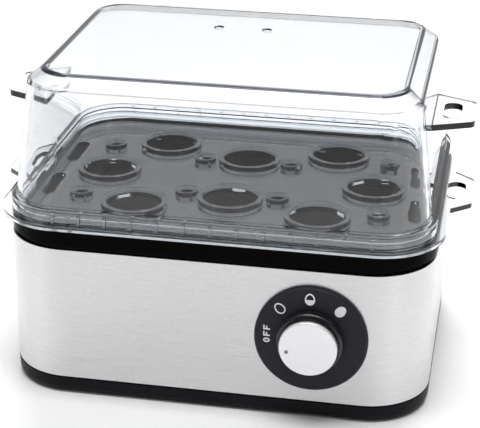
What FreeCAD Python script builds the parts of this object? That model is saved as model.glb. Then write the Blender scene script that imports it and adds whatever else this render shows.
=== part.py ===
"""Eight-seat countertop egg boiler: a steel-clad base with a heated water pan, a front dial,
a clear egg tray and a clear lid.

Millimetres, +Z up, X to the right as seen from the dial, -Y towards the user.
Everything is drawn about the middle of the base, and moved once, at the end, so that the
origin lies on the table under the middle of the whole appliance.
"""
import math
import os

import FreeCAD
import Part

V = FreeCAD.Vector

# Base, outside
body_w = 187.6
body_d = 145.0
body_r = 28.0
foot_reach = 0.6
band_top = 7.6
steel_bottom = 8.4
steel_top = 70.1
rim_bottom = 70.7
rim_top = 79.6
rim_overhang = 0.6
rim_corner_extra = 3.0
rim_skirt = 6.0
rim_low_edge_r = 1.6
rim_top_edge_r = 0.8
steel_t = 0.6
moulding_t = 2.4
band_fillet = 3.0
groove_depth = 1.2

# Fits
slip = 0.3
running = 0.05
# How close two heights are before they count as one, when an edge is looked for
same = 1e-4

# Bottom cover
floor_t = 2.4
upstand_top = 16.0
foot_r = 7.0
foot_t = 2.2
foot_inset_x = 30.0
foot_inset_y = 26.0
vent_len = 30.0
vent_w = 3.0
vent_pitch = 8.0
vent_row_gap = 3.0
vent_count = 5

# Corner posts and the screws that close the base
post_inset = 14.0
post_r = 4.6
post_split = 20.0
screw_r = 1.7
screw_head_r = 3.3
screw_head_t = 2.0
screw_bite = 12.0

# Water pan
ledge_z = 74.4
ledge_w = 5.0
seal_t = 1.2
pan_t = 1.0
pan_floor_z = 58.0
pan_flange_w = 9.9
bowl_round = 4.0
pan_draft = 2.5

# Heater under the pan
spreader_r = 46.0
spreader_t = 2.0
heater_loop_r = 36.0
heater_tube_r = 3.5
heater_gap_deg = 34.0
clamp_t = 1.6
clamp_w = 12.0
clamp_window_gap = 1.0
clamp_ring_w = 3.0
stud_r = 2.0
stud_x = 22.0
stud_past_nut = 1.0
nut_r = 3.9
nut_t = 2.4
cutout_r = 9.0
cutout_t = 7.0
fuse_r = 2.6
fuse_len = 16.0
fuse_y = 20.0
fuse_clip_len = 6.0
fuse_clip_wall = 1.4
fuse_room = 0.2
blade_w = 6.3
blade_t = 0.8
blade_len = 9.0

# Heat shield and the control board below it
shield_z = 34.0
shield_t = 0.8
shield_half_w = 58.0
shield_half_d = 40.0
shield_r = 6.0
shield_post_r = 3.4
board_inset = 47.8
board_y = 0.0
board_w = 62.0
board_d = 56.0
board_t = 1.6
board_z = 11.0
pillar_r = 3.0
pillar_inset = 5.0
small_screw_r = 1.1
small_head_r = 2.2
small_head_t = 1.2
small_bite = 4.0
relay_size = (19.0, 15.5, 15.0)
relay_at = (12.0, 18.0)
supply_size = (24.0, 20.0, 17.0)
supply_at = (-12.0, -10.0)
terminal_size = (22.0, 9.0, 11.0)
terminal_at = (-11.0, 20.0)
buzzer_r = 6.0
buzzer_h = 7.0
buzzer_at = (15.0, -17.0)

# Dial
dial_inset = 49.5
dial_z = 39.2
dial_r = 24.4
dial_t = 2.4
dial_bevel = 0.8
mark_t = 0.2
mark_ring_r = 18.9
icon_h = 5.4
icon_w = 4.3
icon_line = 0.55
icon_low_share = 0.44
icon_points = 24
letter_h = 2.9
letter_w = 2.1
letter_gap = 0.9
letter_line = 0.6
off_deg = 176.0
soft_deg = 134.0
medium_deg = 92.0
hard_deg = 50.0

# Switch behind the dial
switch_w = 24.0
switch_h = 24.0
switch_d = 13.0
bushing_r = 4.5
bushing_reach = 5.0
panel_nut_r = 6.4
panel_nut_t = 2.0
shaft_r = 3.0
shaft_depth = 8.0

# Knob
skirt_r = 14.3
skirt_t = 4.4
grip_r = 12.9
grip_len = 2.2
rib_count = 48
rib_depth = 0.35
cap_r = 12.4
cap_t = 1.8
knob_wall = 1.6
hub_gap = 0.6
dot_r = 0.8
dot_ring_r = 9.2
dot_proud = 0.2
dot_turn = 16.0

# Egg tray
tray_t = 1.8
tray_floor_top = 79.2
tray_flange_z = 79.9
tray_flange_top = 82.2
tray_flange_w = 4.1
tray_wall_top = 87.6
tray_ledge_top = 86.0
tray_ledge_w = 2.8
tray_floor_t = 1.6
tray_rib_count = 13
tray_rib_pitch = 11.4
tray_rib_w = 1.4
tray_rib_out = 1.2
tray_rib_drop = 1.4
seat_hole_r = 12.6
seat_ring_t = 2.2
seat_ring_h = 2.2
side_seat_inset = 26.7
corner_seat_inset_x = 47.7
corner_seat_inset_y = 29.0
middle_seat_inset = 42.0
slot_inset = 5.5
slot_y = 20.5
slot_len = 25.0
slot_w = 6.0
hex_r = 4.0
collar_r = 5.2
collar_h = 2.0
outer_hex_inset_x = 21.7
outer_hex_inset_y = 36.0
inner_hex_x = 20.7
inner_hex_back = 3.9
tray_tab_reach = 9.0
tray_tab_base = 22.0
tray_tab_end = 14.0
tray_hole_in = 7.5

# Lid
lid_inset_x = 2.6
lid_inset_y = 3.5
lid_inset_r = 5.0
lid_draft = 6.55
lid_shoulder_drop = 5.2
lid_shoulder_r_loss = 4.8
lid_top_z = 143.8
lid_chamfer = 6.7
lid_top_r_loss = 8.5
lid_t = 2.0
lid_crease_r = 2.6
lid_bead_h = 2.4
vent_hole_r = 2.4
vent_hole_mid_x = -4.0
vent_hole_x = 11.2
vent_hole_y = 25.0
lid_tab_drop = 26.6
lid_tab_t = 2.8
lid_tab_reach = 17.8
lid_tab_base = 21.0
lid_tab_end = 13.0
lid_hole_in = 10.1

# Finger holes in all four tabs
finger_half_w = 4.0
finger_half_len = 9.5
tab_corner_r = 4.0
# Straight left between the two round ends of a hole, so that a round hole is one too
least_straight = 0.01


def outline(half_w, half_d, r, z):
    """A rectangle with round corners, as a closed wire."""
    cx = half_w - r
    cy = half_d - r
    s = r * math.sqrt(0.5)
    edges = []
    for sx, sy in ((1, 1), (-1, 1), (-1, -1), (1, -1)):
        side = V(sx * half_w, sy * cy, z)
        corner = V(sx * (cx + s), sy * (cy + s), z)
        end = V(sx * cx, sy * half_d, z)
        if sx * sy < 0:
            side, end = end, side
        edges.append((side, corner, end))
    wire = []
    for i, (side, corner, end) in enumerate(edges):
        wire.append(Part.Arc(side, corner, end).toShape())
        wire.append(Part.makeLine(end, edges[(i + 1) % 4][0]))
    return Part.Wire(wire)


def slab(half_w, half_d, r, z0, z1):
    """A block with round corners."""
    return Part.Face(outline(half_w, half_d, r, z0)).extrude(V(0, 0, z1 - z0))


def tube(half_w, half_d, r, wall, z0, z1):
    """An upright wall that follows a rounded rectangle, its thickness going inwards."""
    inner = slab(half_w - wall, half_d - wall, r - wall, z0, z1)
    return slab(half_w, half_d, r, z0, z1).cut(inner)


def cylinder(r, x, y, z0, z1):
    return Part.makeCylinder(r, z1 - z0, V(x, y, z0))


def front_cylinder(r, x, z, y0, y1):
    """A cylinder whose axis runs front to back, from y0 to y1."""
    return Part.makeCylinder(r, y1 - y0, V(x, y0, z), V(0, 1, 0))


def block(size, x, y, z0):
    w, d, h = size
    return Part.makeBox(w, d, h, V(x - w / 2, y - d / 2, z0))


def hexagon(r, x, y, z0, z1, turn=0.0):
    """A hexagonal prism, r from its middle to a corner."""
    points = []
    for i in range(7):
        a = math.radians(60.0 * i + turn)
        points.append(V(x + r * math.cos(a), y + r * math.sin(a), z0))
    return Part.Face(Part.makePolygon(points)).extrude(V(0, 0, z1 - z0))


def long_hole(half_w, half_len, x, y, z0, z1):
    """A hole with round ends, its length along Y."""
    shape = slab(half_w, half_len, half_w - least_straight, z0, z1)
    shape.translate(V(x, y, 0))
    return shape


def corners(x, y):
    return [(-x, -y), (x, -y), (-x, y), (x, y)]


def joined(shapes):
    return shapes[0].multiFuse(shapes[1:]).removeSplitter()


def edges_at(shape, z):
    """The edges of a shape that lie wholly at one height."""
    found = []
    for edge in shape.Edges:
        box = edge.BoundBox
        if abs(box.ZMin - z) < same and abs(box.ZMax - z) < same:
            found.append(edge)
    return found


def front_edges(shape, y):
    """The edges of a turned piece that lie at its front face."""
    return [edge for edge in shape.Edges if abs(edge.BoundBox.YMax - y) < same]


half_w = body_w / 2
half_d = body_d / 2
lip_w = 3 * steel_t
inside_w = half_w - steel_t - slip
inside_d = half_d - steel_t - slip
inside_r = body_r - steel_t - slip
cover_floor = foot_reach + floor_t
front_y = -half_d
dial_x = half_w - dial_inset
board_x = board_inset - half_w
post_x = half_w - post_inset
post_y = half_d - post_inset
lid_half_w = half_w - lid_inset_x
lid_half_d = half_d - lid_inset_y
lid_r = body_r - lid_inset_r
lid_shoulder_z = lid_top_z - lid_shoulder_drop
lid_tab_z = lid_top_z - lid_tab_drop
tray_wall_half_w = lid_half_w + slip + tray_t
tray_wall_half_d = lid_half_d + slip + tray_t
tray_wall_r = lid_r + slip + tray_t
tray_inner_w = tray_wall_half_w - tray_t - tray_ledge_w
tray_inner_d = tray_wall_half_d - tray_t - tray_ledge_w
tray_inner_r = tray_wall_r - tray_t - tray_ledge_w
side_seat_x = tray_inner_w - side_seat_inset
corner_seat_x = tray_inner_w - corner_seat_inset_x
corner_seat_y = tray_inner_d - corner_seat_inset_y
middle_seat_y = tray_inner_d - middle_seat_inset
slot_x = tray_inner_w - slot_inset
outer_hex_x = tray_inner_w - outer_hex_inset_x
outer_hex_y = tray_inner_d - outer_hex_inset_y
inner_hex_y = middle_seat_y - inner_hex_back
tray_flange_half_w = tray_wall_half_w + tray_flange_w
tray_flange_half_d = tray_wall_half_d + tray_flange_w
opening_half_w = tray_inner_w + tray_t + slip
opening_half_d = tray_inner_d + tray_t + slip
opening_r = tray_inner_r + tray_t + slip
pan_half_w = opening_half_w - slip
pan_half_d = opening_half_d - slip
pan_r = opening_r - slip
pan_flange_z = ledge_z + seal_t
bowl_half_w = pan_half_w - pan_flange_w
bowl_half_d = pan_half_d - pan_flange_w
bowl_r = pan_r - pan_flange_w + bowl_round
pan_under = pan_floor_z - pan_t
spreader_under = pan_under - spreader_t
heater_z = spreader_under - heater_tube_r
clamp_top = heater_z - heater_tube_r
clamp_under = clamp_top - clamp_t
board_top = board_z + board_t
dial_face = front_y - dial_t
switch_front = front_y + steel_t
switch_back = switch_front + switch_d
panel_nut_front = dial_face - panel_nut_t
knob_back = dial_face - slip
skirt_front = knob_back - skirt_t
grip_front = skirt_front - grip_len
knob_front = grip_front - cap_t
shaft_front = grip_front + knob_wall / 2


def foot_places():
    return corners(half_w - foot_inset_x, half_d - foot_inset_y)


def pillar_places():
    spots = corners(board_w / 2 - pillar_inset, board_d / 2 - pillar_inset)
    return [(board_x + x, board_y + y) for x, y in spots]


def shield_places():
    return corners(shield_half_w - pillar_inset, shield_half_d - pillar_inset)


def make_bottom_cover():
    """Black floor of the base: a band that shows under the steel, and the posts inside."""
    band = slab(half_w, half_d, body_r, foot_reach, band_top)
    band = band.makeFillet(band_fillet, edges_at(band, foot_reach))
    neck = slab(
        half_w - groove_depth, half_d - groove_depth, body_r - groove_depth, band_top, steel_bottom
    )
    upstand = slab(inside_w, inside_d, inside_r, steel_bottom, upstand_top)
    hollow = slab(
        inside_w - moulding_t, inside_d - moulding_t, inside_r - moulding_t, cover_floor, upstand_top
    )
    cover = joined([band, neck, upstand]).cut(hollow)
    for x, y in corners(post_x, post_y):
        cover = cover.fuse(cylinder(post_r, x, y, cover_floor, post_split))
    for x, y in pillar_places():
        cover = cover.fuse(cylinder(pillar_r, x, y, cover_floor, board_z))
    for x, y in shield_places():
        cover = cover.fuse(cylinder(shield_post_r, x, y, cover_floor, shield_z))
    holes = []
    for x, y in corners(post_x, post_y):
        holes.append(cylinder(screw_r, x, y, foot_reach, post_split))
        holes.append(cylinder(screw_head_r + slip, x, y, foot_reach, cover_floor + screw_head_t))
    for x, y in pillar_places():
        holes.append(cylinder(small_screw_r, x, y, board_z - small_bite, board_z))
    for x, y in shield_places():
        holes.append(cylinder(small_screw_r, x, y, shield_z - small_bite, shield_z))
    for x, y in foot_places():
        holes.append(cylinder(foot_r, x, y, foot_reach, foot_t))
    for i in range(vent_count):
        x = (i - (vent_count - 1) / 2) * vent_pitch
        y = (vent_len + vent_row_gap) / 2
        holes.append(long_hole(vent_w / 2, vent_len / 2, x, y, foot_reach, cover_floor))
        holes.append(long_hole(vent_w / 2, vent_len / 2, x, -y, foot_reach, cover_floor))
    return cover.cut(Part.makeCompound(holes))


def make_foot(x, y):
    return cylinder(foot_r, x, y, 0.0, foot_t)


def make_cover_screws():
    """The four screws that pull the rim down on the sleeve, from under the base."""
    screws = []
    for x, y in corners(post_x, post_y):
        seat = cover_floor + screw_head_t
        head = cylinder(screw_head_r, x, y, seat - screw_head_t, seat)
        shank = cylinder(screw_r, x, y, seat, post_split + screw_bite)
        screws.append(head.fuse(shank))
    return Part.makeCompound(screws)


def make_steel_sleeve():
    """Brushed steel wrap with an edge turned in at the top, and the hole for the dial."""
    sleeve = tube(half_w, half_d, body_r, steel_t, steel_bottom, steel_top)
    lip = tube(half_w, half_d, body_r, lip_w, steel_top - steel_t, steel_top)
    hole = front_cylinder(bushing_r + slip, dial_x, dial_z, front_y, switch_front)
    return sleeve.fuse(lip).cut(hole)


def make_top_rim():
    """Glossy black ring on top of the steel, with the ledge that carries the pan."""
    rim_w = half_w + rim_overhang
    rim_d = half_d + rim_overhang
    rim_r = body_r + rim_corner_extra
    rim = slab(rim_w, rim_d, rim_r, rim_bottom, rim_top)
    rim = rim.makeFillet(rim_low_edge_r, edges_at(rim, rim_bottom))
    rim = rim.makeFillet(rim_top_edge_r, edges_at(rim, rim_top))
    cavity = slab(
        rim_w - moulding_t, rim_d - moulding_t, rim_r - moulding_t, rim_bottom, rim_top - moulding_t
    )
    well_w = opening_half_w + moulding_t
    well_d = opening_half_d + moulding_t
    well = slab(well_w, well_d, opening_r + moulding_t, ledge_z - moulding_t, rim_top - moulding_t)
    rim = rim.cut(cavity).fuse(well)
    rim = rim.cut(slab(opening_half_w, opening_half_d, opening_r, ledge_z, rim_top))
    throat_w = opening_half_w - ledge_w
    throat_d = opening_half_d - ledge_w
    rim = rim.cut(slab(throat_w, throat_d, opening_r - ledge_w, ledge_z - moulding_t, ledge_z))
    in_lip = lip_w + slip
    skirt = tube(
        half_w - in_lip,
        half_d - in_lip,
        body_r - in_lip,
        moulding_t,
        steel_top - rim_skirt,
        ledge_z - moulding_t,
    )
    posts = []
    for x, y in corners(post_x, post_y):
        post = cylinder(post_r, x, y, post_split, ledge_z)
        posts.append(post.cut(cylinder(screw_r, x, y, post_split, post_split + screw_bite)))
    neck_w = half_w - steel_t
    neck_d = half_d - steel_t
    seat = tube(neck_w, neck_d, body_r - steel_t, moulding_t, steel_top, rim_bottom)
    rim = joined([rim, skirt, seat] + posts)
    bowl_room = slab(
        bowl_half_w + slip, bowl_half_d + slip, bowl_r + slip, post_split, ledge_z - moulding_t
    )
    return rim.cut(bowl_room)


def make_pan_seal():
    """Flat silicone ring under the pan's flange."""
    return tube(pan_half_w, pan_half_d, pan_r, ledge_w - 2 * slip, ledge_z, pan_flange_z)


def make_water_pan():
    """Shallow coated dish that holds the water over the heater."""
    flange = slab(pan_half_w, pan_half_d, pan_r, pan_flange_z, pan_flange_z + pan_t)
    outside = Part.makeLoft(
        [
            outline(bowl_half_w - pan_draft, bowl_half_d - pan_draft, bowl_r - pan_draft, pan_under),
            outline(bowl_half_w, bowl_half_d, bowl_r, pan_flange_z + pan_t),
        ],
        True,
        True,
    )
    inner_w = bowl_half_w - pan_t
    inner_d = bowl_half_d - pan_t
    inner_r = bowl_r - pan_t
    inside = Part.makeLoft(
        [
            outline(inner_w - pan_draft, inner_d - pan_draft, inner_r - pan_draft, pan_floor_z),
            outline(inner_w, inner_d, inner_r, pan_flange_z + pan_t),
        ],
        True,
        True,
    )
    return flange.fuse(outside).cut(inside)


def make_spreader():
    """Aluminium plate that spreads the heat under the pan."""
    return cylinder(spreader_r, 0, 0, spreader_under, pan_under)


def make_heater():
    """Tubular heater bent into an open loop, its two ends at the back."""
    start = 90.0 + heater_gap_deg / 2
    turn = 360.0 - heater_gap_deg
    loop = Part.makeTorus(heater_loop_r, heater_tube_r, V(0, 0, 0), V(0, 0, 1), 0, 360, turn)
    loop.rotate(V(0, 0, 0), V(0, 0, 1), start)
    loop.translate(V(0, 0, heater_z))
    return loop


def make_heater_blade(side):
    """Push-on blade flat against one end of the heater; side is 1 for the left end."""
    off_end = side * (blade_t / 2 + running)
    blade = block((blade_t, blade_w, blade_len), off_end, heater_loop_r, heater_z - blade_len)
    blade.rotate(V(0, 0, 0), V(0, 0, 1), side * heater_gap_deg / 2)
    return blade


def make_heater_clamp():
    """Steel strap across the loop, pulled up against it by two studs."""
    length = 2 * (heater_loop_r + heater_tube_r)
    strap = block((length, clamp_w, clamp_t), 0, 0, clamp_under)
    window_r = cutout_r + clamp_window_gap
    window = cylinder(window_r, 0, 0, clamp_under, clamp_top)
    ring = cylinder(window_r + clamp_ring_w, 0, 0, clamp_under, clamp_top)
    strap = strap.fuse(ring).cut(window)
    for x in (-stud_x, stud_x):
        strap = strap.cut(cylinder(stud_r + slip, x, 0, clamp_under, clamp_top))
    return strap


def make_clamp_studs():
    studs = []
    for x in (-stud_x, stud_x):
        studs.append(cylinder(stud_r, x, 0, clamp_under - nut_t - stud_past_nut, spreader_under))
    return Part.makeCompound(studs)


def make_clamp_nuts():
    nuts = []
    for x in (-stud_x, stud_x):
        nut = hexagon(nut_r, x, 0, clamp_under - nut_t, clamp_under)
        nuts.append(nut.cut(cylinder(stud_r + running, x, 0, clamp_under - nut_t, clamp_under)))
    return Part.makeCompound(nuts)


def make_dry_cutout():
    """Round thermal switch that stops the heater when the pan boils dry."""
    can = cylinder(cutout_r, 0, 0, spreader_under - cutout_t, spreader_under)
    for x in (-1, 1):
        can = can.fuse(
            block((blade_t, blade_w, blade_len), x * cutout_r / 2, 0, spreader_under - cutout_t - blade_len)
        )
    return can


def make_thermal_fuse():
    """One-shot fuse in its sleeve, lying against the spreader."""
    z = spreader_under - fuse_r
    return Part.makeCylinder(fuse_r, fuse_len, V(-fuse_len / 2, fuse_y, z), V(1, 0, 0))


def make_fuse_clip():
    """Small bridge that holds the fuse up."""
    drop = 2 * fuse_r
    room_w = drop + 2 * fuse_room
    bridge_w = room_w + 2 * fuse_clip_wall
    bridge = block(
        (fuse_clip_len, bridge_w, drop + blade_t), 0, fuse_y, spreader_under - drop - blade_t
    )
    room = block((fuse_clip_len, room_w, drop), 0, fuse_y, spreader_under - drop)
    return bridge.cut(room)


def make_heat_shield():
    """Sheet under the heater that keeps its heat off the board."""
    sheet = slab(shield_half_w, shield_half_d, shield_r, shield_z, shield_z + shield_t)
    for x, y in shield_places():
        sheet = sheet.cut(cylinder(small_screw_r, x, y, shield_z, shield_z + shield_t))
    return sheet


def small_screws(places, seat):
    """Pan-head screws whose heads sit at one height."""
    screws = []
    for x, y in places:
        head = cylinder(small_head_r, x, y, seat, seat + small_head_t)
        screws.append(head.fuse(cylinder(small_screw_r, x, y, seat - small_bite, seat)))
    return Part.makeCompound(screws)


def make_control_board():
    board = block((board_w, board_d, board_t), board_x, board_y, board_z)
    for x, y in pillar_places():
        board = board.cut(cylinder(small_screw_r, x, y, board_z, board_top))
    return board


def on_board(size, at):
    return block(size, board_x + at[0], board_y + at[1], board_top)


def make_buzzer():
    x = board_x + buzzer_at[0]
    y = board_y + buzzer_at[1]
    return cylinder(buzzer_r, x, y, board_top, board_top + buzzer_h)


def make_switch_body():
    """Rotary switch with a threaded bushing through the panel."""
    body = Part.makeBox(
        switch_w, switch_d, switch_h, V(dial_x - switch_w / 2, switch_front, dial_z - switch_h / 2)
    )
    bushing = front_cylinder(bushing_r, dial_x, dial_z, switch_front - bushing_reach, switch_front)
    bore = front_cylinder(
        shaft_r + running, dial_x, dial_z, switch_front - bushing_reach, switch_front + shaft_depth
    )
    return body.fuse(bushing).cut(bore)


def make_panel_nut():
    """Nut on the bushing, in front of the dial plate and inside the knob."""
    thread = cylinder(bushing_r + running, 0, 0, 0, panel_nut_t)
    nut = hexagon(panel_nut_r, 0, 0, 0, panel_nut_t).cut(thread)
    nut.rotate(V(0, 0, 0), V(1, 0, 0), 90)
    nut.translate(V(dial_x, dial_face, dial_z))
    return nut


def make_dial_plate():
    """Black disc behind the knob."""
    plate = front_cylinder(dial_r, dial_x, dial_z, dial_face, front_y)
    plate = plate.makeChamfer(dial_bevel, front_edges(plate, dial_face))
    return plate.cut(front_cylinder(bushing_r + running, dial_x, dial_z, dial_face, front_y))


def on_dial(face, turn, degrees):
    """Thickens a flat mark drawn about the origin in XZ and sets it on the dial."""
    return set_on_dial(face.extrude(V(0, -mark_t, 0)), turn, degrees)


def set_on_dial(mark, turn, degrees):
    """Turns a mark about the origin and moves it to its place on the ring of marks."""
    mark.rotate(V(0, 0, 0), V(0, -1, 0), turn)
    a = math.radians(degrees)
    x = dial_x + mark_ring_r * math.cos(a)
    z = dial_z + mark_ring_r * math.sin(a)
    mark.translate(V(x, dial_face, z))
    return mark


def egg_face(grow):
    """Egg outline in XZ: a half ellipse below and a taller half ellipse above."""
    half = icon_w / 2 + grow
    low = icon_h * icon_low_share + grow
    high = icon_h * (1 - icon_low_share) + grow
    points = []
    for i in range(icon_points):
        a = 2 * math.pi * i / icon_points
        rise = high if math.sin(a) > 0 else low
        points.append(V(half * math.cos(a), 0, rise * math.sin(a)))
    curve = Part.BSplineCurve()
    curve.interpolate(points, PeriodicFlag=True)
    return Part.Face(Part.Wire(curve.toShape()))


def make_soft_mark():
    """Egg in outline."""
    return on_dial(egg_face(0.0).cut(egg_face(-icon_line)), soft_deg - 90.0, soft_deg)


def make_medium_mark():
    """Egg in outline with its lower half filled."""
    ring = egg_face(0.0).cut(egg_face(-icon_line)).extrude(V(0, -mark_t, 0))
    below = Part.makeBox(2 * icon_w, mark_t, icon_h, V(-icon_w, -mark_t, -icon_h))
    lower = egg_face(0.0).extrude(V(0, -mark_t, 0)).common(below)
    return set_on_dial(ring.fuse(lower), medium_deg - 90.0, medium_deg)


def make_hard_mark():
    """Filled egg."""
    return on_dial(egg_face(0.0), hard_deg - 90.0, hard_deg)


def stroke(x0, z0, x1, z1):
    """A flat bar in XZ between two corners."""
    points = [V(x0, 0, z0), V(x1, 0, z0), V(x1, 0, z1), V(x0, 0, z1), V(x0, 0, z0)]
    return Part.Face(Part.makePolygon(points))


def make_off_mark():
    """The word OFF, read from below to above."""
    top = letter_h / 2
    left = -letter_w / 2
    outer = Part.Ellipse(V(0, 0, 0), top, letter_w / 2)
    inner = Part.Ellipse(V(0, 0, 0), top - letter_line, letter_w / 2 - letter_line)
    faces = []
    for curve in (outer, inner):
        face = Part.Face(Part.Wire(curve.toShape()))
        face.rotate(V(0, 0, 0), V(0, 0, 1), 90)
        face.rotate(V(0, 0, 0), V(1, 0, 0), 90)
        faces.append(face)
    ring = faces[0].cut(faces[1])
    ring.translate(V(-letter_w - letter_gap, 0, 0))
    letters = [ring]
    for i in (0, 1):
        stem = stroke(left, -top, left + letter_line, top)
        bar = stroke(left, top - letter_line, -left, top)
        middle = stroke(left, -letter_line / 2, -left - letter_line / 2, letter_line / 2)
        letter = stem.multiFuse([bar, middle]).removeSplitter()
        letter.translate(V(i * (letter_w + letter_gap), 0, 0))
        letters.append(letter)
    solids = [on_dial(face, 90.0, off_deg) for face in letters]
    return Part.makeCompound(solids)


def make_knob_grip():
    """Black grip with a wider skirt at its back and fine ribs round its side."""
    grip = front_cylinder(grip_r, dial_x, dial_z, grip_front, skirt_front)
    skirt = front_cylinder(skirt_r, dial_x, dial_z, skirt_front, knob_back)
    skirt = skirt.makeFillet(skirt_t / 3, front_edges(skirt, skirt_front))
    grooves = []
    for i in range(rib_count):
        a = 2 * math.pi * i / rib_count
        x = dial_x + grip_r * math.cos(a)
        z = dial_z + grip_r * math.sin(a)
        grooves.append(front_cylinder(rib_depth, x, z, grip_front, skirt_front))
    knob = grip.fuse(skirt).cut(Part.makeCompound(grooves))
    hollow = front_cylinder(
        grip_r - knob_wall, dial_x, dial_z, grip_front + knob_wall, knob_back
    )
    hub = front_cylinder(
        shaft_r + knob_wall, dial_x, dial_z, grip_front + knob_wall, panel_nut_front - hub_gap
    )
    knob = knob.cut(hollow).fuse(hub)
    return knob.cut(front_cylinder(shaft_r, dial_x, dial_z, shaft_front, knob_back))


def make_knob_cap():
    """Silver disc on the front of the knob."""
    cap = front_cylinder(cap_r, dial_x, dial_z, knob_front, grip_front)
    return cap.makeFillet(cap_t / 3, front_edges(cap, knob_front))


def make_knob_dot():
    """Raised dot that points at the setting; at rest it points at OFF."""
    a = math.radians(off_deg + dot_turn)
    x = dial_x + dot_ring_r * math.cos(a)
    z = dial_z + dot_ring_r * math.sin(a)
    return front_cylinder(dot_r, x, z, knob_front - dot_proud, knob_front)


def make_knob_shaft():
    """Switch shaft, pressed into the knob's hub and turning in the bushing."""
    tail = switch_front + shaft_depth - slip
    return front_cylinder(shaft_r, dial_x, dial_z, shaft_front, tail)


def tab(x_wall, root_t, reach, base, end, z0, z1):
    """Flat tab that tapers outwards from the right-hand wall, its outer corners rounded."""
    root = x_wall - root_t
    tip = x_wall + reach
    points = [V(root, -base, z0), V(x_wall, -base, z0), V(tip, -end, z0), V(tip, end, z0)]
    points += [V(x_wall, base, z0), V(root, base, z0), V(root, -base, z0)]
    plate = Part.Face(Part.makePolygon(points)).extrude(V(0, 0, z1 - z0))
    outer = []
    for edge in plate.Edges:
        box = edge.BoundBox
        if box.ZMax - box.ZMin > same and abs(box.XMax - tip) < same:
            outer.append(edge)
    return plate.makeFillet(tab_corner_r, outer)


def both_sides(shape):
    return [shape, shape.mirror(V(0, 0, 0), V(1, 0, 0))]


def seat_places():
    places = corners(corner_seat_x, corner_seat_y)
    places += [(0.0, -middle_seat_y), (0.0, middle_seat_y)]
    places += [(-side_seat_x, 0.0), (side_seat_x, 0.0)]
    return places


def make_egg_tray():
    """Clear tray: floor with eight ringed seats and steam slots, stepped ribbed wall, two tabs."""
    floor_under = tray_floor_top - tray_floor_t
    drop_w = tray_inner_w + tray_t
    drop_d = tray_inner_d + tray_t
    drop_r = tray_inner_r + tray_t
    well = slab(drop_w, drop_d, drop_r, floor_under, tray_ledge_top)
    step = slab(tray_wall_half_w, tray_wall_half_d, tray_wall_r, tray_ledge_top - tray_t, tray_ledge_top)
    wall = tube(tray_wall_half_w, tray_wall_half_d, tray_wall_r, tray_t, rim_top, tray_wall_top)
    flange_r = tray_wall_r + tray_flange_w
    flange = slab(tray_flange_half_w, tray_flange_half_d, flange_r, tray_flange_z, tray_flange_top)
    flange = flange.cut(
        slab(
            tray_wall_half_w - tray_t,
            tray_wall_half_d - tray_t,
            tray_wall_r - tray_t,
            tray_flange_z,
            tray_flange_top,
        )
    )
    tabs = both_sides(
        tab(
            tray_flange_half_w,
            tray_t,
            tray_tab_reach,
            tray_tab_base,
            tray_tab_end,
            tray_flange_z,
            tray_flange_top,
        )
    )
    tray = joined([well, step, wall, flange] + tabs)
    tray = tray.cut(slab(tray_inner_w, tray_inner_d, tray_inner_r, tray_floor_top, tray_ledge_top))
    added = []
    cuts = []
    rib_h = tray_wall_top - tray_flange_top - tray_rib_drop
    for i in range(tray_rib_count):
        x = (i - (tray_rib_count - 1) / 2) * tray_rib_pitch
        for y in (-tray_wall_half_d, tray_wall_half_d):
            added.append(block((tray_rib_w, 2 * tray_rib_out, rib_h), x, y, tray_flange_top))
    for x, y in seat_places():
        added.append(
            cylinder(seat_hole_r + seat_ring_t, x, y, floor_under, tray_floor_top + seat_ring_h)
        )
        cuts.append(cylinder(seat_hole_r, x, y, floor_under, tray_floor_top + seat_ring_h))
    for x, y in corners(slot_x, slot_y):
        cuts.append(long_hole(slot_w / 2, slot_len / 2, x, y, floor_under, tray_floor_top))
    for x, y in corners(outer_hex_x, outer_hex_y) + corners(inner_hex_x, inner_hex_y):
        added.append(cylinder(collar_r, x, y, floor_under, tray_floor_top + collar_h))
        cuts.append(hexagon(hex_r, x, y, floor_under, tray_floor_top + collar_h))
    tray_hole_x = tray_flange_half_w + tray_tab_reach - tray_hole_in
    for x in (-tray_hole_x, tray_hole_x):
        cuts.append(long_hole(finger_half_w, finger_half_len, x, 0, tray_flange_z, tray_flange_top))
    return joined([tray] + added).cut(Part.makeCompound(cuts))


def lid_shell(inset, z0, top):
    """Lid volume: a wall with draft, a sloped shoulder and a flat top, its creases rounded."""
    w = lid_half_w - inset
    d = lid_half_d - inset
    low = outline(w, d, lid_r - inset, z0)
    shoulder_r = lid_r - lid_shoulder_r_loss - inset
    shoulder = outline(w - lid_draft, d - lid_draft, shoulder_r, lid_shoulder_z - inset / 2)
    flat = lid_draft + lid_chamfer
    high = outline(w - flat, d - flat, lid_r - lid_top_r_loss - inset, top)
    shell = Part.makeLoft([low, shoulder, high], True, True)
    crease_r = lid_crease_r - inset / 2
    shell = shell.makeFillet(crease_r, edges_at(shell, top))
    return shell.makeFillet(crease_r, edges_at(shell, lid_shoulder_z - inset / 2))


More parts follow.
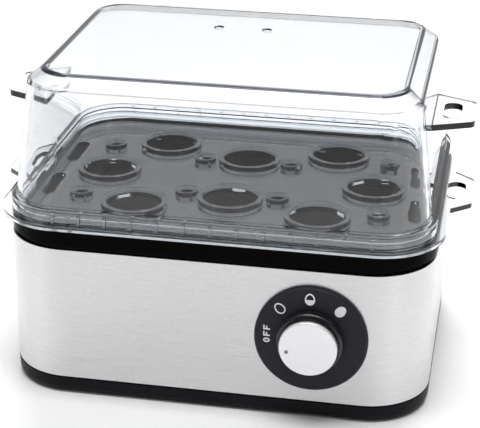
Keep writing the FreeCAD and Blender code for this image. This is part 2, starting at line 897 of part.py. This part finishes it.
def make_lid():
    """Clear lid with a bead at its foot, two steam holes on top and two side tabs."""
    shell = lid_shell(0.0, tray_ledge_top, lid_top_z)
    bead = slab(lid_half_w, lid_half_d, lid_r, tray_ledge_top, tray_ledge_top + lid_bead_h)
    at_tab = lid_half_w - lid_draft * (lid_tab_z - tray_ledge_top) / (lid_shoulder_z - tray_ledge_top)
    tabs = both_sides(
        tab(at_tab, lid_t, lid_tab_reach, lid_tab_base, lid_tab_end, lid_tab_z, lid_tab_z + lid_tab_t)
    )
    lid = joined([shell, bead] + tabs)
    cuts = [lid_shell(lid_t, tray_ledge_top, lid_top_z - lid_t)]
    for x in (vent_hole_mid_x - vent_hole_x, vent_hole_mid_x + vent_hole_x):
        cuts.append(cylinder(vent_hole_r, x, vent_hole_y, lid_top_z - lid_t, lid_top_z))
    lid_hole_x = at_tab + lid_tab_reach - lid_hole_in
    for x in (-lid_hole_x, lid_hole_x):
        cuts.append(long_hole(finger_half_w, finger_half_len, x, 0, lid_tab_z, lid_tab_z + lid_tab_t))
    return lid.cut(Part.makeCompound(cuts))


def all_nodes():
    feet = dict(zip(("front_left", "front_right", "rear_left", "rear_right"), foot_places()))
    nodes = {
        "bottom_cover": make_bottom_cover(),
        "steel_sleeve": make_steel_sleeve(),
        "top_rim": make_top_rim(),
        "cover_screws": make_cover_screws(),
        "pan_seal": make_pan_seal(),
        "water_pan": make_water_pan(),
        "heat_spreader": make_spreader(),
        "heater_loop": make_heater(),
        "heater_clamp": make_heater_clamp(),
        "clamp_studs": make_clamp_studs(),
        "clamp_nuts": make_clamp_nuts(),
        "dry_cutout": make_dry_cutout(),
        "thermal_fuse": make_thermal_fuse(),
        "fuse_clip": make_fuse_clip(),
        "heat_shield": make_heat_shield(),
        "shield_screws": small_screws(shield_places(), shield_z + shield_t),
        "control_board": make_control_board(),
        "board_screws": small_screws(pillar_places(), board_top),
        "relay": on_board(relay_size, relay_at),
        "supply_block": on_board(supply_size, supply_at),
        "terminal_block": on_board(terminal_size, terminal_at),
        "buzzer": make_buzzer(),
        "rotary_switch": make_switch_body(),
        "panel_nut": make_panel_nut(),
        "dial_plate": make_dial_plate(),
        "mark_off": make_off_mark(),
        "mark_soft": make_soft_mark(),
        "mark_medium": make_medium_mark(),
        "mark_hard": make_hard_mark(),
        "knob_grip": make_knob_grip(),
        "knob_cap": make_knob_cap(),
        "knob_dot": make_knob_dot(),
        "knob_shaft": make_knob_shaft(),
        "egg_tray": make_egg_tray(),
        "lid": make_lid(),
    }
    for name, (x, y) in feet.items():
        nodes["foot_" + name] = make_foot(x, y)
    for name, side in (("left", 1), ("right", -1)):
        nodes["heater_blade_" + name] = make_heater_blade(side)
    return nodes


os.makedirs("parts", exist_ok=True)
front_reach = -knob_front + dot_proud
back_reach = tray_flange_half_d
to_origin = V(0, (front_reach - back_reach) / 2, 0)
for node, shape in all_nodes().items():
    shape.translate(to_origin)
    shape.exportStep("parts/" + node + ".step")
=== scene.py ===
"""Countertop egg boiler in a white studio: the looks of each piece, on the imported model."""
import math

import bmesh
import bpy
from mathutils import Matrix, Vector


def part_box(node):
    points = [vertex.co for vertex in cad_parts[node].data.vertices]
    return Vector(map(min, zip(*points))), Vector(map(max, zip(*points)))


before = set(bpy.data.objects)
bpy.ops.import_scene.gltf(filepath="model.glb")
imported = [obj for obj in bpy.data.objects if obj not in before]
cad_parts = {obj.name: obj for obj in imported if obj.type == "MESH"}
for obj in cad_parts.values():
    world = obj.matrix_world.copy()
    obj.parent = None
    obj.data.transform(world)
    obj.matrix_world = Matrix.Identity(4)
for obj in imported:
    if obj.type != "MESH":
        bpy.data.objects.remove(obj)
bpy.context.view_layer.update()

# Bottom cover.
# The black floor of the base is one polypropylene moulding, and its band shows under the steel.
# The spark-eroded mould leaves a fine grain, which breaks up the light into a soft sheen.

mm_per_m = 1000.0

# Nearly all of the noise lies between these two.
noise_low = 0.3
noise_high = 0.7


def srgb(code):
    """The linear colour of an sRGB hex value, by the curve of the sRGB standard."""
    channels = [int(code[i : i + 2], 16) / 255 for i in (1, 3, 5)]
    linear = [c / 12.92 if c <= 0.04045 else ((c + 0.055) / 1.055) ** 2.4 for c in channels]
    return (*linear, 1.0)


def add(tree, kind, feeds=None, **settings):
    """One node with its settings, and what feeds its sockets: a value or another's output."""
    node = tree.nodes.new(kind)
    for name, value in settings.items():
        setattr(node, name, value)
    for name, value in (feeds or {}).items():
        if isinstance(value, bpy.types.NodeSocket):
            tree.links.new(value, node.inputs[name])
        else:
            node.inputs[name].default_value = value
    return node


def finish(name, feeds):
    """A material with one Principled shader, and its node tree."""
    material = bpy.data.materials.new(name)
    material.use_nodes = True
    tree = material.node_tree
    tree.nodes.clear()
    shader = add(tree, "ShaderNodeBsdfPrincipled", feeds)
    add(tree, "ShaderNodeOutputMaterial", {"Surface": shader.outputs[0]})
    return material, tree, shader


def grain(tree, shader, pitch_mm, height_mm, stretch=(1.0, 1.0, 1.0)):
    """Bump from noise whose dots are pitch_mm apart. A stretch below 1 draws them out."""
    place = add(tree, "ShaderNodeTexCoord")
    scaled = add(
        tree, "ShaderNodeMapping", {"Vector": place.outputs["Object"], "Scale": stretch}
    )
    noise = add(
        tree,
        "ShaderNodeTexNoise",
        {"Vector": scaled.outputs[0], "Scale": mm_per_m / pitch_mm, "Detail": 3.0},
    )
    bump = add(
        tree,
        "ShaderNodeBump",
        {"Height": noise.outputs[0], "Strength": 0.5, "Distance": height_mm / mm_per_m},
    )
    tree.links.new(bump.outputs[0], shader.inputs["Normal"])
    return noise


def swing(tree, noise, low, high):
    """A number that follows the noise from low to high."""
    reach = add(
        tree,
        "ShaderNodeMapRange",
        {
            "Value": noise.outputs[0],
            "From Min": noise_low,
            "From Max": noise_high,
            "To Min": low,
            "To Max": high,
        },
    )
    return reach.outputs[0]


def roughen(tree, shader, noise, smooth, rough):
    """Lets the grain swing the roughness between two values."""
    tree.links.new(swing(tree, noise, smooth, rough), shader.inputs["Roughness"])


def shade(tree, shader, share, first, second):
    """Base colour that goes from the first shade to the second as the share goes to 1."""
    mix = add(
        tree, "ShaderNodeMixRGB", {"Fac": share, "Color1": srgb(first), "Color2": srgb(second)}
    )
    tree.links.new(mix.outputs[0], shader.inputs["Base Color"])


def mottle(tree, shader, noise, dark, light):
    """Lets the grain swing the base colour between two shades of it."""
    shade(tree, shader, swing(tree, noise, 0.0, 1.0), dark, light)


def coat(material, *nodes):
    """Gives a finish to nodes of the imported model."""
    for name in nodes:
        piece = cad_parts[name]
        piece.data.materials.clear()
        piece.data.materials.append(material)


# The specular level is low, which keeps the black deep under the wide lights.
# The grain is drawn coarser than real, so that it shows.
moulded_black, tree, shader = finish(
    "moulded_black_polypropylene", {"IOR": 1.49, "Specular IOR Level": 0.12}
)
eroded = grain(tree, shader, pitch_mm=0.6, height_mm=0.02)
mottle(tree, shader, eroded, dark="#0c0c10", light="#131318")
roughen(tree, shader, eroded, smooth=0.36, rough=0.48)
coat(moulded_black, "bottom_cover")

# Feet.
# Four discs of black rubber, punched from sheet and pressed into pockets of the bottom cover.
# The skin is dull and crumbly, and its crumb is drawn coarser than real.
foot_rubber, tree, shader = finish("black_sheet_rubber", {"Roughness": 0.8, "IOR": 1.52})
crumb = grain(tree, shader, pitch_mm=0.8, height_mm=0.05)
mottle(tree, shader, crumb, dark="#1e1e1e", light="#292929")
coat(foot_rubber, "foot_front_left", "foot_front_right", "foot_rear_left", "foot_rear_right")

# Control board.
# Glass-fibre board under green solder mask, which shines softly over the weave of the glass.
# A relay, a supply block, a terminal block and a buzzer are soldered to it.

# The weave is about as coarse as a real one.
solder_mask, tree, shader = finish("green_solder_mask", {"Roughness": 0.35, "IOR": 1.5})
weave = grain(tree, shader, pitch_mm=0.5, height_mm=0.02)
mottle(tree, shader, weave, dark="#195334", light="#206744")
coat(solder_mask, "control_board")

# Moulded epoxy is a dull black, flecked by its filler, which is drawn coarser than real.
part_black, tree, shader = finish("black_epoxy_case", {"Roughness": 0.5, "IOR": 1.5})
filler = grain(tree, shader, pitch_mm=0.5, height_mm=0.02)
mottle(tree, shader, filler, dark="#212121", light="#2b2b2b")
coat(part_black, "relay", "buzzer", "rotary_switch")

# Polyester tape has a dry shine that changes where it lies uneven on the windings.
part_yellow, tree, shader = finish("yellow_bobbin_tape", {"Roughness": 0.4, "IOR": 1.5})
tape = grain(tree, shader, pitch_mm=1.2, height_mm=0.02)
mottle(tree, shader, tape, dark="#cfa733", light="#e2bd45")
coat(part_yellow, "supply_block")

# Moulded nylon is satin, with faint marks of the flow in the mould.
part_green, tree, shader = finish("green_terminal_nylon", {"Roughness": 0.45, "IOR": 1.53})
flow = grain(tree, shader, pitch_mm=0.8, height_mm=0.02)
mottle(tree, shader, flow, dark="#378648", light="#429855")
coat(part_green, "terminal_block")

# Screws, nuts, straps and shaft.
# Mild steel, cold formed and zinc plated: a soft grey shine with faint marks of the die.
# The marks are drawn coarser than real, so that they show.
zinc_steel, tree, shader = finish("zinc_plated_steel", {"Metallic": 1.0})
marks = grain(tree, shader, pitch_mm=0.7, height_mm=0.015)
mottle(tree, shader, marks, dark="#b5b6b9", light="#cfd0d2")
roughen(tree, shader, marks, smooth=0.28, rough=0.42)
coat(
    zinc_steel,
    "cover_screws",
    "board_screws",
    "shield_screws",
    "clamp_studs",
    "clamp_nuts",
    "heater_clamp",
    "fuse_clip",
    "panel_nut",
    "knob_shaft",
)

# Heat shield and spreader.
# Rolled aluminium sheet and a pressed aluminium disc, bright, with fine lines of the rolling.
# The lines run from side to side and are drawn coarser than real.
along_x = (0.05, 1.0, 1.0)
rolled_aluminium, tree, shader = finish("rolled_aluminium", {"Metallic": 1.0})
rolling = grain(tree, shader, pitch_mm=0.5, height_mm=0.01, stretch=along_x)
mottle(tree, shader, rolling, dark="#d0d1d5", light="#e6e7ea")
roughen(tree, shader, rolling, smooth=0.24, rough=0.4)
coat(rolled_aluminium, "heat_shield", "heat_spreader")

# Heater.
# A steel-sheathed tubular element with two brass blades, clamped under the pan.
# The round ceramic cut-out and the sleeved fuse sit inside its loop.

# Heat leaves the sheath dull, in patches of blue-grey and brown.
heater_sheath, tree, shader = finish("heat_blued_sheath", {"Metallic": 1.0})
oxide = grain(tree, shader, pitch_mm=1.5, height_mm=0.02)
mottle(tree, shader, oxide, dark="#4a484e", light="#6c6157")
roughen(tree, shader, oxide, smooth=0.4, rough=0.6)
coat(heater_sheath, "heater_loop")

# Stamped brass shines a clean yellow. Its grain is drawn coarser than real.
blade_brass, tree, shader = finish("stamped_brass", {"Metallic": 1.0, "Roughness": 0.3})
stamping = grain(tree, shader, pitch_mm=0.5, height_mm=0.01)
mottle(tree, shader, stamping, dark="#cca95a", light="#e2c37a")
coat(blade_brass, "heater_blade_left", "heater_blade_right")

# Fired steatite is chalky and off-white. Its grain is drawn coarser than real.
steatite, tree, shader = finish("steatite_ceramic", {"Roughness": 0.55, "IOR": 1.6})
firing = grain(tree, shader, pitch_mm=0.6, height_mm=0.02)
mottle(tree, shader, firing, dark="#ddd6c5", light="#eee9de")
coat(steatite, "dry_cutout", "thermal_fuse")

# Pan seal.
# A flat ring cut from grey silicone sheet, which carries the pan's flange.
# It is soft and matt, with a faint bloom in small clouds.
silicone, tree, shader = finish("grey_silicone", {"Roughness": 0.55, "IOR": 1.41})
bloom = grain(tree, shader, pitch_mm=0.8, height_mm=0.02)
mottle(tree, shader, bloom, dark="#adaca5", light="#bdbcb7")
coat(silicone, "pan_seal")

# Water pan.
# Deep-drawn aluminium under a sprayed dark non-stick coating. The spray dries with a fine
# orange-peel, which mottles its shine. It is drawn coarser than real.
pan_coating, tree, shader = finish(
    "sprayed_nonstick", {"IOR": 1.4, "Specular IOR Level": 0.1}
)
peel = grain(tree, shader, pitch_mm=1.6, height_mm=0.04)
mottle(tree, shader, peel, dark="#080605", light="#13100e")
roughen(tree, shader, peel, smooth=0.3, rough=0.46)
coat(pan_coating, "water_pan")

# Top rim.
# A glossy black moulding in ABS, polished in the mould, that sits on the steel.
# It shines with the slow ripple of a polished face. A low specular level keeps it deep black.
polished_black, tree, shader = finish(
    "polished_black_abs", {"Roughness": 0.14, "IOR": 1.53, "Specular IOR Level": 0.02}
)
ripple = grain(tree, shader, pitch_mm=6.0, height_mm=0.01)
mottle(tree, shader, ripple, dark="#030304", light="#060607")
coat(polished_black, "top_rim")

# Steel sleeve.
# Stainless strip, wrapped round the base and brushed along its length. The scratches run
# level, so they spread the light up and down. They are drawn coarser than real.
along_the_wall = (0.02, 0.02, 1.0)
quarter_turn = 0.25
sleeve_steel, tree, shader = finish(
    "brushed_stainless",
    {"Metallic": 1.0, "Anisotropic": 0.7, "Anisotropic Rotation": quarter_turn},
)
brushing = grain(tree, shader, pitch_mm=0.45, height_mm=0.012, stretch=along_the_wall)
mottle(tree, shader, brushing, dark="#cbcbcc", light="#dadadb")
roughen(tree, shader, brushing, smooth=0.24, rough=0.38)
coat(sleeve_steel, "steel_sleeve")

# Dial plate.
# A charcoal disc in matt ABS, held by the switch's nut, with the settings printed in white.
# Its fine spark-eroded grain is drawn coarser than real.
dial_charcoal, tree, shader = finish(
    "matt_charcoal_abs", {"Roughness": 0.5, "IOR": 1.53, "Specular IOR Level": 0.15}
)
spark = grain(tree, shader, pitch_mm=0.5, height_mm=0.01)
mottle(tree, shader, spark, dark="#26242b", light="#2d2b32")
coat(dial_charcoal, "dial_plate")

# Pad-printed ink lies flat and even, with hardly any shine.
white_ink, tree, shader = finish("white_pad_ink", {"Roughness": 0.5, "IOR": 1.5})
print_grain = grain(tree, shader, pitch_mm=0.3, height_mm=0.005)
mottle(tree, shader, print_grain, dark="#ebebeb", light="#f8f8f8")
coat(white_ink, "mark_off", "mark_soft", "mark_medium", "mark_hard")

# Knob.
# A glossy black ribbed grip, moulded in ABS, with a silver cap and a small raised dot.
# The grip's shine has a slow swirl from the flow in the mould.
knob_black, tree, shader = finish("gloss_black_knob", {"Roughness": 0.28, "IOR": 1.53})
swirl = grain(tree, shader, pitch_mm=4.0, height_mm=0.01)
mottle(tree, shader, swirl, dark="#151518", light="#1c1c1f")
coat(knob_black, "knob_grip")

# Satin silver paint is partly metal flake, which keeps the cap bright from every side.
# The flake is drawn coarser than real.
satin_silver, tree, shader = finish(
    "satin_silver_paint", {"Metallic": 0.6, "Roughness": 0.42}
)
flake = grain(tree, shader, pitch_mm=0.4, height_mm=0.008)
mottle(tree, shader, flake, dark="#eeeef0", light="#fafafb")
coat(satin_silver, "knob_cap")

# The dot is a plain satin grey.
dot_grey, tree, shader = finish("grey_dot", {"Roughness": 0.5})
dot_grain = grain(tree, shader, pitch_mm=0.4, height_mm=0.008)
mottle(tree, shader, dot_grain, dark="#767679", light="#858588")
coat(dot_grey, "knob_dot")

# Egg tray.
# Injection-moulded clear SAN with polished faces and a faint ripple from the mould.
# It lifts out by two side tabs, whose upright edges have a painted shade that looks nearly
# black.

# The plastic takes most from the red of light that goes a long way through it.
plastic_tint = "#a3b1c9"
tint_density_per_m = 14.0

# Clear plastic bends the light away at an edge or a crease, which then looks nearly black.
# The shader alone draws that too faintly, so those places get a painted shade: a dark base
# colour.
painted_edge_shade = "#05070d"

# Further out or further up than any piece reaches.
past_the_end = 1.0


def overlay(tree, kind, first, *others):
    """Masks made one: MULTIPLY keeps what all of them cover, MAXIMUM what any does."""
    for other in others:
        first = add(tree, "ShaderNodeMath", {0: first, 1: other}, operation=kind).outputs[0]
    return first


def within(tree, value, low, high, soft):
    """1 where a value lies between two limits, falling to 0 over a soft margin outside."""
    rise = add(
        tree,
        "ShaderNodeMapRange",
        {"Value": value, "From Min": low - soft, "From Max": low},
    )
    fall = add(
        tree,
        "ShaderNodeMapRange",
        {
            "Value": value,
            "From Min": high,
            "From Max": high + soft,
            "To Min": 1.0,
            "To Max": 0.0,
        },
    )
    return overlay(tree, "MULTIPLY", rise.outputs[0], fall.outputs[0])


def unsigned(tree, value):
    """A number without its sign."""
    return add(tree, "ShaderNodeMath", {0: value}, operation="ABSOLUTE").outputs[0]


def facing(tree):
    """The way the surface faces, split into X, Y and Z."""
    normal = add(tree, "ShaderNodeNewGeometry").outputs["Normal"]
    return add(tree, "ShaderNodeSeparateXYZ", {"Vector": normal}).outputs


def place_of(tree):
    """Where on the piece a point is, split into X, Y and Z."""
    place = add(tree, "ShaderNodeTexCoord").outputs["Object"]
    return add(tree, "ShaderNodeSeparateXYZ", {"Vector": place}).outputs


def tint(tree, code, density):
    """What the plastic takes from the light on its way through, per metre."""
    depth = add(tree, "ShaderNodeVolumeAbsorption", {"Color": srgb(code), "Density": density})
    tree.links.new(depth.outputs[0], tree.nodes["Material Output"].inputs["Volume"])


# The tab is 9 mm long, and the painted shade of its dark edge starts 0.2 mm out from the
# flange.
tray_tab_edge_m = 0.0088
tray_tab_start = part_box("egg_tray")[1][0] - tray_tab_edge_m

tray_san, tree, shader = finish(
    "clear_san_tray", {"Roughness": 0.02, "IOR": 1.57, "Transmission Weight": 1.0}
)
grain(tree, shader, pitch_mm=9.0, height_mm=0.02)
tint(tree, plastic_tint, tint_density_per_m)
faces = facing(tree)
upright = within(tree, unsigned(tree, faces["Z"]), low=0.0, high=0.2, soft=0.1)
out_on_x = unsigned(tree, place_of(tree)["X"])
on_tab = within(tree, out_on_x, low=tray_tab_start, high=past_the_end, soft=0.0005)
# Painted shade: the tabs' upright edges take the dark base colour.
painted_tab_shade = overlay(tree, "MULTIPLY", upright, on_tab)
shade(tree, shader, painted_tab_shade, first="#f4f7f9", second=painted_edge_shade)
coat(tray_san, "egg_tray")

# Lid.
# The same clear SAN in one deep moulding, with a faint ripple from the mould.
# Painted shade draws dark lines along its tabs, the crease round its top, and the shoulder
# under that.
lid_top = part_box("lid")[1][2]
lid_top_layer = 0.001

# How far the tabs' underside lies below the top, their thickness, and a place past the wall.
lid_tab_drop = 0.0266
lid_tab_thickness = 0.0028
lid_tab_start = 0.088

lid_san, tree, shader = finish(
    "clear_san_lid", {"Roughness": 0.0, "IOR": 1.47, "Transmission Weight": 1.0}
)
grain(tree, shader, pitch_mm=14.0, height_mm=0.02)
tint(tree, plastic_tint, tint_density_per_m)
faces = facing(tree)
place = place_of(tree)
faces_side = unsigned(tree, faces["X"])

# Painted shade on the upright edges of the two side tabs.
upright = within(tree, unsigned(tree, faces["Z"]), low=0.0, high=0.2, soft=0.1)
out_on_x = unsigned(tree, place["X"])
past_wall = within(tree, out_on_x, low=lid_tab_start, high=past_the_end, soft=0.0003)
tab_under = lid_top - lid_tab_drop
tab_over = tab_under + lid_tab_thickness
at_tab = within(tree, place["Z"], low=tab_under, high=tab_over, soft=0.0002)
painted_tab_shade = overlay(tree, "MULTIPLY", upright, past_wall, at_tab)

# Painted shade in the crease round the top: thin at the back and sides, wider along the front.
at_top = within(tree, place["Z"], low=lid_top - lid_top_layer, high=lid_top, soft=0.0002)
thin_crease = within(tree, faces["Z"], low=0.88, high=0.985, soft=0.01)
nearly_level = within(tree, faces["Z"], low=0.7, high=0.998, soft=0.002)
faces_front = within(tree, faces["Y"], low=-1.0, high=-0.12, soft=0.06)
front_crease = overlay(tree, "MULTIPLY", nearly_level, faces_front)
crease = overlay(tree, "MAXIMUM", thin_crease, front_crease)
top_crease = overlay(tree, "MULTIPLY", at_top, crease)

# Painted shade on the shoulder at the two sides, away from the corners.
side_slope = within(tree, faces["Z"], low=0.2, high=0.76, soft=0.03)
at_sides = within(tree, faces_side, low=0.6, high=1.0, soft=0.04)
off_corners = within(tree, unsigned(tree, faces["Y"]), low=0.0, high=0.2, soft=0.1)
side_shoulder = overlay(tree, "MULTIPLY", side_slope, at_sides, off_corners)

# The painted shade on the shoulder at the front and the back is a fainter line.
front_shoulder_share = 0.45
front_slope = within(tree, faces["Z"], low=0.38, high=0.52, soft=0.03)
off_sides = within(tree, faces_side, low=0.0, high=0.5, soft=0.1)
front_shoulder = overlay(tree, "MULTIPLY", front_slope, off_sides, front_shoulder_share)

# All the painted shade lines take the dark base colour.
lines = overlay(tree, "MAXIMUM", top_crease, side_shoulder, front_shoulder, painted_tab_shade)
shade(tree, shader, lines, first="#fbfcfd", second=painted_edge_shade)
coat(lid_san, "lid")

# Studio table.
# A plain matt white table, whose far edge lies 6 m behind the object.
# It stays on the stage and is no part of the object.
table_half_width = 6.0
floor_white, tree, shader = finish(
    "white_table", {"Base Color": srgb("#f4f4f4"), "Roughness": 0.7}
)
shape = bmesh.new()
bmesh.ops.create_grid(shape, x_segments=1, y_segments=1, size=table_half_width)
mesh = bpy.data.meshes.new("table")
shape.to_mesh(mesh)
shape.free()
table = bpy.data.objects.new("table", mesh)
mesh.materials.append(floor_white)
bpy.context.scene.collection.objects.link(table)

# Studio surround.
# Dark in front of the object and paler behind and above it. The dark part shows in the clear
# plastic as grey lines, and the pale part keeps the plastic between them bright.
share_behind = 0.75
share_above = 0.5
dark_wall = "#22262e"
white_wall = "#ffffff"
world = bpy.data.worlds.new("studio_surround")
world.use_nodes = True
tree = world.node_tree
background = tree.nodes["Background"]
direction = add(tree, "ShaderNodeTexCoord").outputs["Generated"]
axes = add(tree, "ShaderNodeSeparateXYZ", {"Vector": direction}).outputs
behind = add(
    tree,
    "ShaderNodeMapRange",
    {"Value": axes["Y"], "From Min": 0.55, "From Max": 0.8, "To Max": share_behind},
    interpolation_type="SMOOTHSTEP",
)
above = add(
    tree,
    "ShaderNodeMapRange",
    {"Value": axes["Z"], "From Min": 0.6, "From Max": 0.8, "To Max": share_above},
    interpolation_type="SMOOTHSTEP",
)
pale = overlay(tree, "MAXIMUM", behind.outputs[0], above.outputs[0])
walls = add(
    tree,
    "ShaderNodeMixRGB",
    {"Fac": pale, "Color1": srgb(dark_wall), "Color2": srgb(white_wall)},
)
tree.links.new(walls.outputs[0], background.inputs["Color"])
bpy.context.scene.world = world

# Studio lights.
# A wide softbox behind and above the object, and a smaller one that fills its front.
# A tall strip box stands at each side.


def softbox(name, place, aim, width, height, watts):
    """A rectangular area light that faces a point."""
    lamp = bpy.data.lights.new(name, "AREA")
    lamp.shape = "RECTANGLE"
    lamp.size = width
    lamp.size_y = height
    lamp.energy = watts
    box = bpy.data.objects.new(name, lamp)
    box.location = place
    box.rotation_euler = (Vector(aim) - Vector(place)).to_track_quat("-Z", "Y").to_euler()
    bpy.context.scene.collection.objects.link(box)


middle = (0.0, 0.0, 0.1)
front_foot = (0.0, -0.12, 0.0)
softbox("overhead", (0.0, 0.75, 1.1), middle, width=1.1, height=0.7, watts=14.0)
softbox("front_fill", (0.0, -0.2, 0.9), front_foot, width=0.7, height=0.4, watts=6.1)
softbox("strip_left", (-0.9, -0.7, 0.4), middle, width=0.25, height=0.9, watts=1.0)
softbox("strip_right", (0.9, -0.8, 0.4), middle, width=0.25, height=0.9, watts=1.0)

# Camera.
# A long lens in front of the object, a little to the right and well above it.
# Its place and turn come from a fit to the outlines, made about the middle of the base.
base_middle_y = 0.0043
camera_place = (0.1179, base_middle_y - 0.64678, 0.3477)
camera_yaw = -0.1805
camera_pitch = 0.4103
camera_roll = 0.0085
camera_focal_px = 1538.0
frame_width_px = 480.0
lens = bpy.data.cameras.new("camera")
lens.sensor_width = 36.0
lens.lens = lens.sensor_width * camera_focal_px / frame_width_px
camera = bpy.data.objects.new("camera", lens)
turn = Matrix.Rotation(-camera_yaw, 4, "Z")
tilt = Matrix.Rotation(math.pi / 2 - camera_pitch, 4, "X")
roll = Matrix.Rotation(camera_roll, 4, "Z")
camera.matrix_world = Matrix.Translation(camera_place) @ turn @ tilt @ roll
bpy.context.scene.collection.objects.link(camera)
bpy.context.scene.camera = camera

# The standard view keeps the whites of the table and the cap white.
bpy.context.scene.view_settings.view_transform = "Standard"
